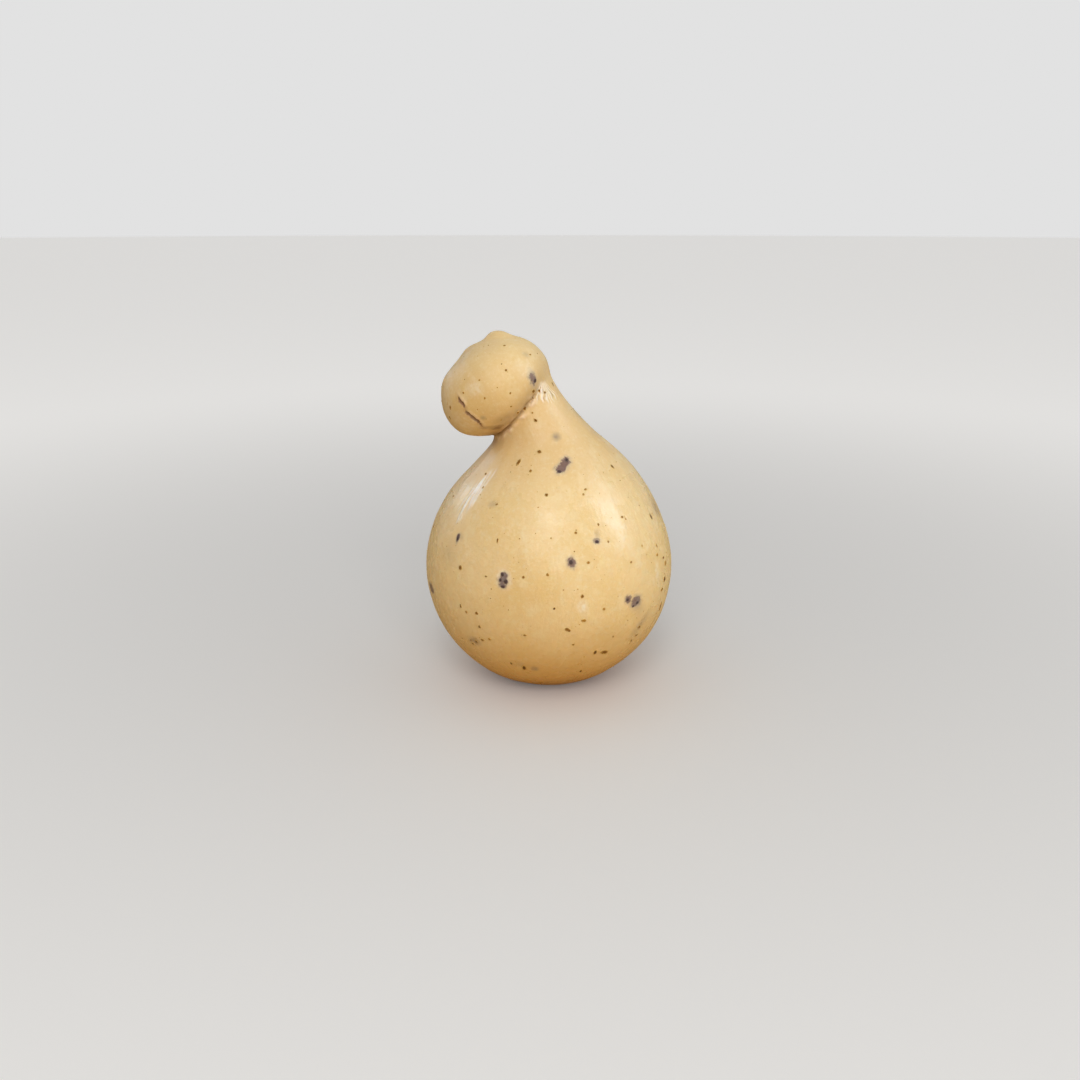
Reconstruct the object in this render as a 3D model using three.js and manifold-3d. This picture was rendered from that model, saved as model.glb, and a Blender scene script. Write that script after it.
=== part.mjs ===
// A caciocavallo: a stretched-curd cheese, one solid piece. The round body narrows upwards to a neck, and
// the head above the neck has slumped to one side, so that a notch is left under it. It stands on a small
// flat spot. Millimetres, +Z up. The origin is the middle of that spot, and the head hangs towards -X.
import * as THREE from "three";
import { mergeVertices } from "three/addons/utils/BufferGeometryUtils.js";
import Module from "manifold-3d";

// Body: a bowl-shaped underside up to the belly, then a shoulder that draws in to the throat.
const FOOT_RADIUS = 20;
const BELLY_RADIUS = 63;
const BELLY_HEIGHT = 59;
const BELLY_RISE = 34; // how far above the belly the shoulder still heads straight up
const THROAT_RADIUS = 26;
const THROAT_HEIGHT = 126;
const THROAT_TAPER = 0.9; // radius lost for each millimetre of height at the throat
const SHOULDER_RUN = 17.5; // length of the nearly straight stretch below the throat

// Neck: goes on from the throat to a rounded crown that is buried in the head.
const NECK_RADIUS = 18;
const NECK_HEIGHT = 153;
const NECK_RUN = 5.5; // length of the nearly straight stretch above the throat
const NECK_RISE = 12; // length of the upright stretch below the crown
const CROWN_DEPTH = 16;

// Axis of the body: it sways a little to +X at the shoulder, then the neck leans towards -X. The lean is
// a ramp from LEAN_HEIGHT upwards, rounded off over LEAN_EASE.
const SWAY = 1.6;
const SWAY_HEIGHT = 113;
const SWAY_SPREAD = 15;
const LEAN_SLOPE = 0.6;
const LEAN_HEIGHT = 127;
const LEAN_EASE = 2.6;

// Head: a flattened ball, tilted towards -X.
const HEAD_CENTRE = new THREE.Vector3(-27, 0, 151);
const HEAD_RADIUS = 28.4;
const HEAD_HALF_THICKNESS = 21.7;
const HEAD_TILT = THREE.MathUtils.degToRad(38);

// Relief of the head, each form lying towards a direction from the head's centre: the nub where the curd
// was pinched off, and a shallow dent beside it. A higher falloff gives a flatter top with a steeper edge.
const NUB = {
  towards: new THREE.Vector3(0.02, 0.04, 1).normalize(),
  rise: 2.6,
  spread: 5.4,
  falloff: 4,
};
const DENT = {
  towards: new THREE.Vector3(-0.78, -0.1, 0.62).normalize(),
  rise: -1.3,
  spread: 8,
  falloff: 2,
};
const HEAD_RELIEF = [NUB, DENT];

// Fineness of the faceted skin.
const BODY_SIDES = 84;
const UNDERSIDE_RINGS = 15;
const SHOULDER_RINGS = 20;
const NECK_RINGS = 10;
const CROWN_RINGS = 5;
const HEAD_SIDES = 66;
const HEAD_RINGS = 36;

const RIND_COLOUR = 0xe6c88e;
const RIND_ROUGHNESS = 0.45;

const wasm = await Module();
wasm.setup();

// Outline of the body as radius and height, from the middle of the flat spot to the top of the crown.
function bodyOutline() {
  const footAngle = Math.asin(FOOT_RADIUS / BELLY_RADIUS);
  const undersideDepth = BELLY_HEIGHT / Math.cos(footAngle);
  const points = [new THREE.Vector2(0, 0)];
  for (let i = 0; i < UNDERSIDE_RINGS; i++) {
    const angle = THREE.MathUtils.lerp(footAngle, Math.PI / 2, i / UNDERSIDE_RINGS);
    const height = BELLY_HEIGHT - undersideDepth * Math.cos(angle);
    points.push(new THREE.Vector2(BELLY_RADIUS * Math.sin(angle), height));
  }

  const belly = new THREE.Vector2(BELLY_RADIUS, BELLY_HEIGHT);
  const throat = new THREE.Vector2(THROAT_RADIUS, THROAT_HEIGHT);
  const neckTop = new THREE.Vector2(NECK_RADIUS, NECK_HEIGHT);
  const upwards = new THREE.Vector2(0, 1);
  const throatHeading = new THREE.Vector2(-THROAT_TAPER, 1).normalize();
  const shoulder = new THREE.CubicBezierCurve(
    belly,
    belly.clone().addScaledVector(upwards, BELLY_RISE),
    throat.clone().addScaledVector(throatHeading, -SHOULDER_RUN),
    throat,
  );
  const neck = new THREE.CubicBezierCurve(
    throat,
    throat.clone().addScaledVector(throatHeading, NECK_RUN),
    neckTop.clone().addScaledVector(upwards, -NECK_RISE),
    neckTop,
  );
  points.push(...shoulder.getSpacedPoints(SHOULDER_RINGS));
  points.push(...neck.getSpacedPoints(NECK_RINGS).slice(1));

  for (let i = 1; i < CROWN_RINGS; i++) {
    const angle = (i / CROWN_RINGS) * (Math.PI / 2);
    const height = NECK_HEIGHT + CROWN_DEPTH * Math.sin(angle);
    points.push(new THREE.Vector2(NECK_RADIUS * Math.cos(angle), height));
  }
  points.push(new THREE.Vector2(0, NECK_HEIGHT + CROWN_DEPTH));
  return points;
}

// Where the axis of the body runs at a height, measured along X.
function axisOffset(height) {
  const sway = SWAY * Math.exp(-(((height - SWAY_HEIGHT) / SWAY_SPREAD) ** 2));
  const lean = LEAN_SLOPE * LEAN_EASE * Math.log1p(Math.exp((height - LEAN_HEIGHT) / LEAN_EASE));
  return sway - lean;
}

// The outline turned about +Z, with each ring moved on to the bent axis.
function bodyGeometry() {
  const geometry = new THREE.LatheGeometry(bodyOutline(), BODY_SIDES).rotateX(Math.PI / 2);
  const place = geometry.getAttribute("position");
  for (let i = 0; i < place.count; i++) {
    place.setX(i, place.getX(i) + axisOffset(place.getZ(i)));
  }
  return geometry;
}

// How far the head's skin stands out along a direction from its centre.
function headRelief(direction) {
  let rise = 0;
  for (const form of HEAD_RELIEF) {
    const distance = HEAD_RADIUS * direction.angleTo(form.towards);
    rise += form.rise * Math.exp(-((distance / form.spread) ** form.falloff));
  }
  return rise;
}

// A ball flattened along its own axis and tilted, with the relief added and the whole set on the neck.
function headGeometry() {
  const geometry = new THREE.SphereGeometry(1, HEAD_SIDES, HEAD_RINGS)
    .rotateX(Math.PI / 2)
    .scale(HEAD_RADIUS, HEAD_RADIUS, HEAD_HALF_THICKNESS)
    .rotateY(-HEAD_TILT);
  const place = geometry.getAttribute("position");
  for (let i = 0; i < place.count; i++) {
    const point = new THREE.Vector3().fromBufferAttribute(place, i);
    const direction = point.clone().normalize();
    point.addScaledVector(direction, headRelief(direction)).add(HEAD_CENTRE);
    place.setXYZ(i, point.x, point.y, point.z);
  }
  return geometry;
}

// A closed geometry as a solid that can be joined to another.
function solidFrom(geometry) {
  geometry.deleteAttribute("normal");
  geometry.deleteAttribute("uv");
  const merged = mergeVertices(geometry);
  return new wasm.Manifold(
    new wasm.Mesh({
      numProp: 3,
      vertProperties: new Float32Array(merged.getAttribute("position").array),
      triVerts: new Uint32Array(merged.index.array),
    }),
  );
}

// A solid as a geometry again.
function geometryFrom(solid) {
  const { vertProperties, triVerts } = solid.getMesh();
  const geometry = new THREE.BufferGeometry();
  geometry.setAttribute("position", new THREE.BufferAttribute(vertProperties, 3));
  geometry.setIndex(new THREE.BufferAttribute(triVerts, 1));
  geometry.computeVertexNormals();
  return geometry;
}

// Body and head fused into one solid.
function makeCheese() {
  const solid = solidFrom(bodyGeometry()).add(solidFrom(headGeometry()));
  const rind = new THREE.MeshStandardMaterial({
    color: RIND_COLOUR,
    roughness: RIND_ROUGHNESS,
    metalness: 0,
  });
  const cheese = new THREE.Mesh(geometryFrom(solid), rind);
  cheese.name = "cheese";
  return cheese;
}

const caciocavallo = new THREE.Group();
caciocavallo.add(makeCheese());

export default caciocavallo;
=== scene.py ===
import math

import bmesh
import bpy
import numpy as np
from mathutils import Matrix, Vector, noise
from mathutils.bvhtree import BVHTree


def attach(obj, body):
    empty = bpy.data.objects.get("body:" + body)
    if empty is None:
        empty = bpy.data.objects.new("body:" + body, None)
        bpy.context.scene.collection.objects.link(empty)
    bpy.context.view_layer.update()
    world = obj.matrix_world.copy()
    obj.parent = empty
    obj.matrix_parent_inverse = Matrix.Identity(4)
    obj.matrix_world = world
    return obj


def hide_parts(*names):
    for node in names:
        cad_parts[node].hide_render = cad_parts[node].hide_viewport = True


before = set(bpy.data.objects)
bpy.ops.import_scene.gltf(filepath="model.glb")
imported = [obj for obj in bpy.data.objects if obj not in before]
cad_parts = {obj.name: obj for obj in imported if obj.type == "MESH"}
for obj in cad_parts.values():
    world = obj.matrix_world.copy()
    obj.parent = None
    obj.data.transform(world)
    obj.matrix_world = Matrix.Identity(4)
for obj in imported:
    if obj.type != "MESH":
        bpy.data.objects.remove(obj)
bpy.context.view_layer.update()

# Camera: it stands where the photograph was taken from, in front of the cheese and a little above its head,
# looking down at it. The photograph is square, and a ray through a pixel of it names a place on the skin.
# The picture is shown with plain colours, because the default view bleaches a bright yellow.
PHOTO_SIDE = 1080
CAMERA_PLACE = Vector((-0.0045, -0.499, 0.231))
CAMERA_PITCH = math.radians(17.7)
CAMERA_LENS = 34.0


def new_object(name, data):
    """An object of the scene, with its data."""
    made = bpy.data.objects.new(name, data)
    bpy.context.scene.collection.objects.link(made)
    return made


camera_data = bpy.data.cameras.new("photo_camera")
camera_data.lens = CAMERA_LENS
camera = new_object("photo_camera", camera_data)
camera.location = CAMERA_PLACE
camera.rotation_euler = (math.pi / 2 - CAMERA_PITCH, 0, 0)
bpy.context.scene.camera = camera
bpy.context.scene.view_settings.view_transform = "Standard"


def pixel_ray(x, y):
    """The direction from the camera through a pixel of the photograph."""
    focal = PHOTO_SIDE * camera_data.lens / camera_data.sensor_width
    direction = Vector(((x - PHOTO_SIDE / 2) / focal, (PHOTO_SIDE / 2 - y) / focal, -1))
    direction.rotate(camera.rotation_euler)
    return direction.normalized()


# Rind: the smooth waxy skin of the stretched curd, one with the cheese under it. It takes the solid's form,
# drawn finer. Where the slumped head lies on the shoulder the skin is folded sharply, and on the other side
# the neck runs into the head in a soft bend.
SKIN_GRAIN = 0.0014
SKIN_ROUNDS = 15
BEND_ROUNDS = 22
BEND_REACH = 0.005
MERGE_GAP = 1e-6
LEAST_PULL = 1e-6
NUB_PLACE = np.array((-0.0264, 0.001, 0.1785))
NUB_REACH = 0.008
NUB_KEPT = 0.8
HEAD_CENTRE = np.array((-0.027, 0.0, 0.151))
HEAD_POLE = np.array((-0.616, 0.0, 0.788))
HEAD_RADIUS = 0.0284
HEAD_HALF_THICKNESS = 0.0217
HEAD_CLOSE = 0.0002
HEAD_CLEAR = 0.006
FOLD_MIDDLE = np.array((-0.0135, 0.0, 0.143))
FOLD_FACING = np.array((-0.743, 0.0, 0.669))
FOLD_ENDS = (-0.008, 0.000)


def points_of(mesh):
    points = np.empty(len(mesh.vertices) * 3)
    mesh.vertices.foreach_get("co", points)
    return points.reshape(-1, 3)


def normals_of(mesh):
    normals = np.empty(len(mesh.vertices) * 3)
    mesh.vertices.foreach_get("normal", normals)
    return normals.reshape(-1, 3)


def edges_of(mesh):
    ends = np.empty(len(mesh.edges) * 2, np.int32)
    mesh.edges.foreach_get("vertices", ends)
    return ends.reshape(-1, 2)


def move_points(mesh, points):
    mesh.vertices.foreach_set("co", points.astype(np.float32).ravel())
    mesh.update()


def ease(low, high, values):
    """A smooth step from 0 at low to 1 at high."""
    share = np.clip((values - low) / (high - low), 0, 1)
    return share * share * (3 - 2 * share)


def bump_of(distance, width):
    """A bell-shaped form: 1 in its middle, fading to nothing at about twice its width."""
    return np.exp(-((distance / width) ** 2))


def fine_copy(node, grain):
    """A closed copy of a solid's mesh, remade with faces of an even small size."""
    mesh = node.data.copy()
    shape = bmesh.new()
    shape.from_mesh(mesh)
    bmesh.ops.remove_doubles(shape, verts=shape.verts, dist=MERGE_GAP)
    shape.to_mesh(mesh)
    shape.free()
    carrier = new_object("carrier", mesh)
    remesh = carrier.modifiers.new("even_faces", "REMESH")
    remesh.mode = "VOXEL"
    remesh.voxel_size = grain
    made = bpy.data.meshes.new_from_object(carrier.evaluated_get(bpy.context.evaluated_depsgraph_get()))
    bpy.data.objects.remove(carrier)
    return made


def off_head(points):
    """About how far points stand off the flattened ball of the head."""
    away = points - HEAD_CENTRE
    along = away @ HEAD_POLE
    across = np.sqrt(np.maximum((away * away).sum(1) - along * along, 0))
    return (np.hypot(along / HEAD_HALF_THICKNESS, across / HEAD_RADIUS) - 1) * HEAD_HALF_THICKNESS


def lies_on_head(points):
    """True for points on the head's skin: on its flattened ball, or well past the fold."""
    past_fold = (points - FOLD_MIDDLE) @ FOLD_FACING
    return (off_head(points) < HEAD_CLOSE) | (past_fold > HEAD_CLEAR)


def fold_sharpness(points):
    """1 where the fold is sharp, fading to 0 where the neck runs softly into the head."""
    return 1 - ease(*FOLD_ENDS, points[:, 0])


def relax(points, ends, pull, weight, rounds):
    """Moves each point half-way to the mean of its neighbours, as far as its weight allows, in a number of
    rounds. pull says how much each end of an edge heeds the other."""
    size = len(points)
    heard = np.bincount(ends[:, 0], pull[:, 0], size) + np.bincount(ends[:, 1], pull[:, 1], size)
    step = 0.5 * weight * (heard > LEAST_PULL)
    heard = np.maximum(heard, LEAST_PULL)
    for _ in range(rounds):
        mean = np.empty_like(points)
        for axis in range(3):
            column = points[:, axis]
            mean[:, axis] = np.bincount(ends[:, 0], pull[:, 0] * column[ends[:, 1]], size)
            mean[:, axis] += np.bincount(ends[:, 1], pull[:, 1] * column[ends[:, 0]], size)
        points = points + step[:, None] * (mean / heard[:, None] - points)
    return points


def nearest_gap(points, marks):
    """The distance from each point to the nearest of some marks."""
    gaps = np.full(len(points), np.inf)
    for mark in marks:
        gaps = np.minimum(gaps, ((points - mark) ** 2).sum(1))
    return np.sqrt(gaps)


def refine(mesh, near):
    """Splits the faces round the chosen points into four."""
    shape = bmesh.new()
    shape.from_mesh(mesh)
    edges = [edge for edge in shape.edges if near[edge.verts[0].index] and near[edge.verts[1].index]]
    bmesh.ops.subdivide_edges(shape, edges=edges, cuts=1, use_grid_fill=True)
    shape.to_mesh(mesh)
    shape.free()
    mesh.update()


skin_mesh = fine_copy(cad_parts["cheese"], SKIN_GRAIN)
skin_mesh.name = "caciocavallo"
skin_points = points_of(skin_mesh)
skin_ends = edges_of(skin_mesh)

# Points on either side of the fold don't heed each other where it is sharp, and those beside it only heed
# their neighbours along it, so the crease keeps its line while the rest of the skin is smoothed.
on_head = lies_on_head(skin_points)
sharpness = fold_sharpness(skin_points)
crosses = on_head[skin_ends[:, 0]] != on_head[skin_ends[:, 1]]
beside = np.zeros(len(skin_points), bool)
beside[skin_ends[crosses].ravel()] = True
pull = np.ones((len(skin_ends), 2))
for here, there in ((0, 1), (1, 0)):
    guarded = crosses | (beside[skin_ends[:, here]] & ~beside[skin_ends[:, there]])
    pull[guarded, here] = 1 - sharpness[skin_ends[guarded, here]]
on_nub = bump_of(np.linalg.norm(skin_points - NUB_PLACE, axis=1), NUB_REACH)
skin_points = relax(skin_points, skin_ends, pull, 1 - NUB_KEPT * on_nub, SKIN_ROUNDS)

fold_line = skin_points[skin_ends[crosses]].mean(1)
bend_share = bump_of(nearest_gap(skin_points, fold_line), BEND_REACH) * (1 - sharpness)
skin_points = relax(skin_points, skin_ends, np.ones_like(pull), bend_share, BEND_ROUNDS)
move_points(skin_mesh, skin_points)

# Truffle shavings: thin dark flakes under the skin, purple brown to grey where the wax lies over them. Those
# in sight stand where the photograph shows them, and others like them are strewn over the hidden sides.
# Lobe: pixel x and y, half width and height in mm, turn in degrees, greyness and strength.
MILLIMETRE = 0.001
SHAVINGS = {
    "throat_upper": (565.8, 461.8, 2.2, 2.7, -25, 0.15, 1.0),
    "throat_middle": (563.2, 465.4, 2.0, 2.4, -30, 0.15, 1.0),
    "throat_lower": (560.6, 468.8, 2.7, 2.4, 40, 0.25, 1.0),
    "belly_top": (504.2, 575.8, 2.0, 1.8, 0, 0.9, 1.0),
    "belly_middle": (503.2, 580.6, 2.3, 2.4, 0, 0.9, 1.0),
    "belly_bottom": (502.4, 584.8, 1.9, 1.6, 0, 0.7, 1.0),
    "flank_small": (628.5, 599.5, 1.9, 2.1, 0, 0.35, 0.95),
    "flank_large": (636.4, 601.6, 3.2, 3.0, 0, 0.8, 0.95),
    "head": (532.4, 378.4, 2.3, 3.3, 18, 0.6, 0.9),
    "front_low": (571.6, 563.0, 2.0, 2.5, 10, 0.4, 0.95),
    "front_high": (597.0, 540.6, 1.9, 1.6, 0, 0.5, 0.6),
    "left_small": (458.0, 537.8, 1.3, 2.2, -5, 0.1, 1.0),
    "left_rim": (431.4, 588.0, 4.6, 2.5, 0, 0.3, 1.0),
}
BACK_SHAVINGS = 17
BACK_SEED = 11
BACK_SPACING = 0.012
BACK_LOWEST = 0.008
BACK_TURNED = 0.05
BACK_SIZES = (1.0, 2.4)
BACK_SQUATNESS = (0.6, 1.2)
BACK_GREYS = (0.2, 1.0)
BACK_STRENGTHS = (1.0, 0.9, 0.6)
SECOND_LOBE = (0.8, 0.7)
RIM_STEP = 0.5


def skin_tree():
    faces = [tuple(face.vertices) for face in skin_mesh.polygons]
    return BVHTree.FromPolygons([vertex.co.copy() for vertex in skin_mesh.vertices], faces)


def on_skin(x, y):
    """The place on the skin that a pixel of the photograph shows, and the skin's direction there. A pixel on
    the outline moves inwards until its ray meets the skin."""
    place = None
    while place is None:
        place, facing, _, _ = skin_now.ray_cast(CAMERA_PLACE, pixel_ray(x, y))
        x += RIM_STEP if x < PHOTO_SIDE / 2 else -RIM_STEP
    return np.array(place), np.array(facing)


def flat_axes(facing):
    """Two directions in the skin, to the right and up, where it faces a direction."""
    right = np.cross((0, 0, 1), facing)
    right /= np.linalg.norm(right)
    return right, np.cross(facing, right)


def hidden_places(count, seed):
    """Seeded places on the skin that the photograph doesn't show, clear of the foot and of each other."""
    draw = np.random.default_rng(seed)
    chosen = []
    while len(chosen) < count:
        pick = int(draw.integers(len(skin_points)))
        place = skin_points[pick]
        view = place - np.array(CAMERA_PLACE)
        clear = all(np.linalg.norm(skin_points[other] - place) > BACK_SPACING for other in chosen)
        if skin_normals[pick] @ view > BACK_TURNED and place[2] > BACK_LOWEST and clear:
            chosen.append(pick)
    return chosen


skin_now = skin_tree()
skin_points = points_of(skin_mesh)
skin_normals = normals_of(skin_mesh)
shavings = [(*on_skin(*lobe[:2]), *lobe[2:]) for lobe in SHAVINGS.values()]
draw = np.random.default_rng(BACK_SEED)
for pick in hidden_places(BACK_SHAVINGS, BACK_SEED):
    size = draw.uniform(*BACK_SIZES)
    angle = draw.uniform(0, 180)
    grey = draw.uniform(*BACK_GREYS)
    strength = draw.choice(BACK_STRENGTHS)
    facing = skin_normals[pick]
    tall = size * draw.uniform(*BACK_SQUATNESS)
    shavings.append((skin_points[pick], facing, size, tall, angle, grey, strength))
    beside_it = skin_points[pick] + flat_axes(facing)[1] * size * MILLIMETRE
    lobe_sizes = [size * share for share in SECOND_LOBE]
    shavings.append((beside_it, facing, *lobe_sizes, angle, grey, strength))

# Streaks: on the left shoulder the skin is drawn into fine ridges that catch the light and whiten, as taffy
# does where it is pulled; their white crests are partly a painted highlight. They are thick in one patch and
# its tail, and thin round it. Pixel x and y, half width and height in mm, turn and strength.
STREAKS = {
    "thick": (474.8, 492.0, 5.0, 16.0, -16, 1.0),
    "thin": (466.0, 484.0, 8.0, 17.0, -16, 0.16),
    "tail": (466.0, 509.0, 2.6, 10.0, -20, 0.85),
}
STREAK_EDGE = (0.6, 1.1)
STREAK_HEIGHT = 0.00026
STREAK_SIZE = 0.0013


def lobe_distance(points, place, facing, half_width, half_height, turn_degrees):
    """How far points lie from the middle of an oval mark on the skin, sized in mm, where 1 is its edge."""
    right, up = flat_axes(facing)
    angle = math.radians(turn_degrees)
    away = (points - place) / MILLIMETRE
    x = away @ (math.cos(angle) * right + math.sin(angle) * up)
    y = away @ (math.cos(angle) * up - math.sin(angle) * right)
    depth = away @ facing
    reach = half_width + half_height
    return np.sqrt((x / half_width) ** 2 + (y / half_height) ** 2 + (depth / reach) ** 2)


def strongest_of(points, marks, low, high):
    """The strength of the strongest of some soft marks at points. Each fades out from low to high, where 1
    is its edge."""
    strongest = np.zeros(len(points))
    for x, y, half_width, half_height, degrees, strength in marks.values():
        distance = lobe_distance(points, *on_skin(x, y), half_width, half_height, degrees)
        strongest = np.maximum(strongest, strength * (1 - ease(low, high, distance)))
    return strongest


# Pinch: where the fold runs out, the skin of the neck is drawn together in a fan of fine pale wrinkles.
# Their pale crests are partly a painted highlight, and their brown furrows partly painted shade. They start
# below the middle of the pinch, and wander and fade a little on their way.
PINCH_PIXEL = (541.0, 372.0)
PINCH_COUNT = 44
PINCH_HEIGHT = 0.00018
PINCH_START = (0.0035, 0.0070)
PINCH_END = (0.0120, 0.0160)
PINCH_SPREAD = (0.30, 0.62)
PINCH_REACH = 0.032
PINCH_WANDER = 5.0
PINCH_WANDER_SIZE = 0.0035
PINCH_MEAN = 0.75
PINCH_SWING = 0.9
PINCH_SWING_SIZE = 0.0028


def pinch_polar(points):
    """How far points lie from the middle of the pinch, and at what angle from straight down."""
    right, up = flat_axes(pinch_facing)
    x = (points - pinch_place) @ right
    y = (points - pinch_place) @ up
    return np.hypot(x, y), np.arctan2(x, -y)


def pinch_fan(points):
    """1 in the fan of wrinkles below the middle of the pinch, fading to 0 at its edges."""
    far, angle = pinch_polar(points)
    fan = ease(*PINCH_START, far) * (1 - ease(*PINCH_END, far))
    fan *= 1 - ease(*PINCH_SPREAD, np.abs(angle))
    return fan * (np.linalg.norm(points - pinch_place, axis=1) < PINCH_REACH)


pinch_place, pinch_facing = on_skin(*PINCH_PIXEL)

# Seam: a slit on the head where the curd was pressed together and didn't quite close, brown inside and
# ragged, with a raised lip along its upper side. Each pixel of its path has a share of its depth.
SEAM_PIXELS = (
    (458.4, 399.2),
    (462.4, 404.4),
    (464.6, 409.2),
    (466.2, 413.0),
    (472.1, 417.6),
    (477.5, 421.6),
    (482.3, 427.0),
)
SEAM_DEPTHS = (0.9, 1.2, 0.0, 0.8, 1.1, 1.0, 0.35)
SEAM_DEPTH = 0.0007
SEAM_WIDTH = 0.00090
SEAM_NARROWEST = 0.5
SEAM_RAGGED = 0.00060
SEAM_RAGGED_SIZE = 0.0011
LIP_HEIGHT = 0.00040
LIP_PLACE = 0.0016
LIP_WIDTH = 0.0009
LIP_REACH = 0.0032

seam_path = [on_skin(*pixel)[0] for pixel in SEAM_PIXELS]

# Finer faces where the fold, the pinch, the seam, the shavings and the streaks need them, in three rounds.
# Each round reaches less far, and the new points are eased into the round of the skin, clear of the fold.
FOLD_FINER = (0.0050, 0.0026, 0.0)
SEAM_FINER = (0.0080, 0.0045, 0.0024)
SHAVING_FINER = (0.0046, 0.0036, 0.0)
STREAK_FINER = (0.0, 0.3, 1.0)
FOLD_GUARD = 0.002
EASE_ROUNDS = 3


def wants_finer(points, level):
    near = (nearest_gap(points, fold_line) < FOLD_FINER[level]) & (fold_sharpness(points) > 0)
    near |= pinch_fan(points) > 0
    near |= nearest_gap(points, seam_path) < SEAM_FINER[level]
    near |= strongest_of(points, STREAKS, *STREAK_EDGE) > STREAK_FINER[level]
    return near | (nearest_gap(points, [shaving[0] for shaving in shavings]) < SHAVING_FINER[level])


for level in range(len(FOLD_FINER)):
    refine(skin_mesh, wants_finer(points_of(skin_mesh), level))
    skin_points = points_of(skin_mesh)
    eased = 1 - bump_of(nearest_gap(skin_points, fold_line), FOLD_GUARD) * fold_sharpness(skin_points)
    eased *= wants_finer(skin_points, level)
    skin_ends = edges_of(skin_mesh)
    move_points(skin_mesh, relax(skin_points, skin_ends, np.ones(skin_ends.shape), eased, EASE_ROUNDS))

skin_points = points_of(skin_mesh)
skin_normals = normals_of(skin_mesh)

# Relief: broad soft lumps left by the hands that shaped it, swells of the head, shallow flutes down the neck
# and shoulder where the curd was drawn, and the fold pressed in along its line, with an uneven lip below it.
# Swell: pixel x and y, height and reach in mm.
LUMP_SIZES = (0.024, 0.009)
LUMP_HEIGHTS = (0.00035, 0.00012)
LEAN_HEIGHT = 0.127
NECK_LEAN = 0.6
HEAD_EDGE = (-0.003, 0.003)
HEAD_LOWEST = (0.115, 0.125)
GRAIN_RADIUS = 0.04
GRAIN_STRETCH = 0.13
FLUTE_SIZE = 0.005
FLUTE_HEIGHT = 0.00012
FLUTE_START = (0.05, 0.10)
FLAT_SPOT = (0.0005, 0.006)
FOLD_DEPTH = 0.0005
FOLD_WIDTH = 0.0007
FOLD_WAVER = 0.0005
FOLD_WAVER_SIZE = 0.0022
NOTCH_ENDS = (-0.026, -0.014)
FOLD_LIP_HEIGHT = 0.0008
FOLD_LIP_PLACE = 0.0022
FOLD_LIP_WIDTH = 0.0012
FOLD_LIP_SIZE = 0.0032
FOLD_LIP_MEAN = 0.55
FOLD_LIP_SWING = 1.5
FOLD_LIP_RANGE = (0.1, 1.3)
FOLD_LIP_END = (-0.030, -0.023)
SWELLS = {
    "brow": (467.0, 351.0, 1.2, 6.0),
    "cheek": (444.5, 381.0, 0.8, 6.5),
    "chin": (462.0, 430.0, 0.9, 8.0),
    "nape": (546.0, 366.0, 1.2, 8.0),
    "nub": (504.0, 334.5, 1.2, 4.0),
    "nub_left": (490.5, 335.0, 0.6, 3.0),
}


def lumps(points, size):
    """Smooth random heights between about -1 and 1 over the skin."""
    return np.array([noise.noise(Vector(point) / size) for point in points])


axis_x = -NECK_LEAN * np.maximum(skin_points[:, 2] - LEAN_HEIGHT, 0)
turn = np.arctan2(skin_points[:, 1], skin_points[:, 0] - axis_x)
fold_gap = nearest_gap(skin_points, fold_line)
sharpness = fold_sharpness(skin_points)
past_fold = (skin_points - FOLD_MIDDLE) @ FOLD_FACING
head_gap = off_head(skin_points)
head_share = ease(*HEAD_EDGE, past_fold) * ease(*HEAD_LOWEST, skin_points[:, 2])
head_away = skin_points - HEAD_CENTRE
head_side = np.cross(HEAD_POLE, (0, 1, 0))
head_turn = np.arctan2(head_away[:, 1], head_away @ head_side)
drawn = np.where(head_share > 0.5, head_turn, turn)
climb = np.where(head_share > 0.5, head_away @ HEAD_POLE, skin_points[:, 2])
around = [GRAIN_RADIUS * np.cos(drawn), GRAIN_RADIUS * np.sin(drawn)]
grain = np.stack([*around, GRAIN_STRETCH * climb], axis=1)

relief = np.zeros(len(skin_points))
for size, height in zip(LUMP_SIZES, LUMP_HEIGHTS):
    relief += height * lumps(skin_points, size)
relief += FLUTE_HEIGHT * lumps(grain, FLUTE_SIZE) * ease(*FLUTE_START, skin_points[:, 2])
relief *= ease(*FLAT_SPOT, skin_points[:, 2])
for x, y, height, reach in SWELLS.values():
    swell_gap = np.linalg.norm(skin_points - on_skin(x, y)[0], axis=1)
    relief += height * MILLIMETRE * bump_of(swell_gap, reach * MILLIMETRE)
ridges = lumps(grain, STREAK_SIZE)
streaked = strongest_of(skin_points, STREAKS, *STREAK_EDGE)
relief += STREAK_HEIGHT * ridges * streaked
near_notch = 1 - ease(*NOTCH_ENDS, skin_points[:, 0])
uneven = np.clip(FOLD_LIP_MEAN + FOLD_LIP_SWING * lumps(skin_points, FOLD_LIP_SIZE), *FOLD_LIP_RANGE)
uneven *= ease(*FOLD_LIP_END, skin_points[:, 0])
wavering = fold_gap + FOLD_WAVER * lumps(skin_points, FOLD_WAVER_SIZE)
crease = bump_of(wavering, FOLD_WIDTH) * sharpness
fold_lip = bump_of(wavering - FOLD_LIP_PLACE, FOLD_LIP_WIDTH) * sharpness * (1 - head_share) * uneven
relief += FOLD_LIP_HEIGHT * fold_lip - FOLD_DEPTH * crease

# The wrinkles of the pinch and the slit of the seam, pressed into the same relief.
pinch_share = pinch_fan(skin_points)
pinch_phase = PINCH_WANDER * lumps(skin_points, PINCH_WANDER_SIZE)
pinch_wave = np.sin(pinch_polar(skin_points)[1] * PINCH_COUNT + pinch_phase)
pinch_wave *= PINCH_MEAN + PINCH_SWING * lumps(skin_points, PINCH_SWING_SIZE)
wrinkle = pinch_share * pinch_wave
relief += PINCH_HEIGHT * wrinkle

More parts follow.
